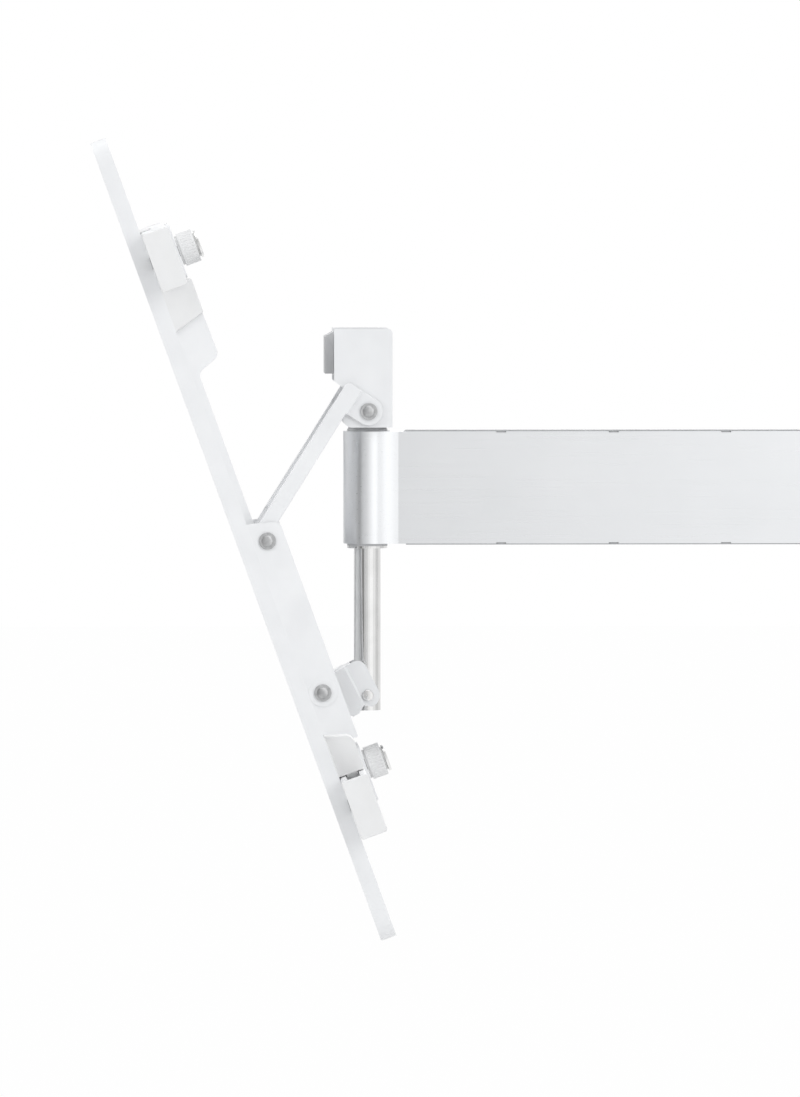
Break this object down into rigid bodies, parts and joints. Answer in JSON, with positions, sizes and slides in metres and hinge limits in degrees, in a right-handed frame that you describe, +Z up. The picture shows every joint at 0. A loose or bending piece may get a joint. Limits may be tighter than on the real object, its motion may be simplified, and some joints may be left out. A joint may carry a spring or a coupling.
{
  "type": "swivel screen wall mount",
  "caption": "Swivel wall mount: folding two-part arm, tilting head with link gear, two rails and two uprights for a 400 x 400 mm screen.",
  "frame": {"origin": "centre of the four wall bolts, on the wall", "axes": "+Y into the wall, the mount reaches along -Y; +Z up; X across"},
  "size_m": [0.5, 0.8936, 0.4011],
  "materials": {
    "white_steel": "satin powder coat",
    "white_plastic": "fine matt moulding",
    "arm_silver": "satin anodised",
    "chrome": "polished",
    "zinc": "zinc plated",
    "grey_plastic": "matt"
  },
  "bodies": {
    "wall_bracket": {"wall_plate": "white_steel", "pivot_block": "arm_silver", "block_screws": "zinc", "wall_cover": "white_plastic", "wall_bushes": "grey_plastic", "wall_washers": "grey_plastic"},
    "inner_arm": {"inner_bar_upper": "arm_silver", "inner_bar_lower": "arm_silver", "inner_cover_upper": "white_plastic", "inner_cover_lower": "white_plastic", "wall_pin": "chrome", "wall_pin_caps": "grey_plastic", "elbow_pin": "chrome", "elbow_pin_caps": "grey_plastic", "elbow_washers": "grey_plastic"},
    "outer_arm": {"outer_arm": "arm_silver", "outer_cover_top": "grey_plastic", "outer_cover_bottom": "grey_plastic", "elbow_bushes": "grey_plastic", "head_bushes": "grey_plastic"},
    "head": {"head_washer": "grey_plastic", "head_shaft": "chrome", "head_bracket": "white_steel", "stop_block": "grey_plastic", "stop_pad": "grey_plastic", "top_pin": "zinc", "top_washers": "zinc", "cross_pin": "chrome"},
    "upper_link": {"upper_link_right": "white_steel", "upper_link_left": "white_steel"},
    "lower_link": {"lower_link": "white_steel"},
    "carrier": {"spine": "white_steel", "cheek_bracket": "white_steel", "spine_cap": "white_plastic", "carrier_pin": "zinc", "carrier_washers": "zinc", "low_pin": "zinc", "low_washers": "zinc", "rail_upper": "white_steel", "rail_lower": "white_steel", "rail_caps_upper": "white_plastic", "rail_caps_lower": "white_plastic", "saddle_upper": "white_plastic", "saddle_lower": "white_plastic", "clamp_plate_upper": "white_steel", "clamp_plate_lower": "white_steel", "clamp_bolts": "zinc"},
    "knob_top": {"knob_upper": "white_plastic", "knob_disc_upper": "chrome"},
    "knob_bottom": {"knob_lower": "white_plastic", "knob_disc_lower": "chrome"},
    "upright_right": {"upright_right": "white_steel", "sliders_right": "zinc", "lock_right": "white_plastic", "lock_screw_right": "zinc"},
    "upright_left": {"upright_left": "white_steel", "sliders_left": "zinc", "lock_left": "white_plastic", "lock_screw_left": "zinc"}
  },
  "joints": [
    {"name": "wall_swivel", "type": "hinge", "parent": "wall_bracket", "child": "inner_arm", "pos_m": [0, -0.04, 0], "axis": [0, 0, 1], "range_deg": [-90, 90]},
    {"name": "elbow_swivel", "type": "hinge", "parent": "inner_arm", "child": "outer_arm", "pos_m": [0, -0.48, 0], "axis": [0, 0, -1], "range_deg": [-144, 144]},
    {"name": "head_swivel", "type": "hinge", "parent": "outer_arm", "child": "head", "pos_m": [0, -0.75, 0], "axis": [0, 0, 1], "range_deg": [-90, 90]},
    {"name": "tilt", "type": "hinge", "parent": "head", "child": "upper_link", "pos_m": [0, -0.75, 0.04], "axis": [1, 0, 0], "range_deg": [0, 30]},
    {"name": "carrier_pivot", "type": "hinge", "parent": "upper_link", "child": "carrier", "pos_m": [0, -0.8025, -0.0268], "axis": [1, 0, 0], "range_deg": [-50, 0]},
    {"name": "lower_link_turn", "type": "hinge", "parent": "head", "child": "lower_link", "pos_m": [0, -0.75, -0.108], "axis": [1, 0, 0], "range_deg": [0, 70.4]},
    {"name": "knob_top_turn", "type": "hinge", "parent": "carrier", "child": "knob_top", "pos_m": [0, -0.85589, 0.11989], "axis": [0, 0.9397, 0.342], "continuous": true},
    {"name": "knob_bottom_turn", "type": "hinge", "parent": "carrier", "child": "knob_bottom", "pos_m": [0, -0.75865, -0.14727], "axis": [0, 0.9397, 0.342], "continuous": true},
    {"name": "upright_right_slide", "type": "slide", "parent": "carrier", "child": "upright_right", "axis": [1, 0, 0], "range_m": [-0.15, 0.03]},
    {"name": "upright_left_slide", "type": "slide", "parent": "carrier", "child": "upright_left", "axis": [-1, 0, 0], "range_m": [-0.15, 0.03]}
  ],
  "couplings": [
    {"joint": "carrier_pivot", "follows": "tilt", "ratio": -1.6667},
    {"joint": "lower_link_turn", "follows": "tilt", "ratio": 2.346}
  ]
}
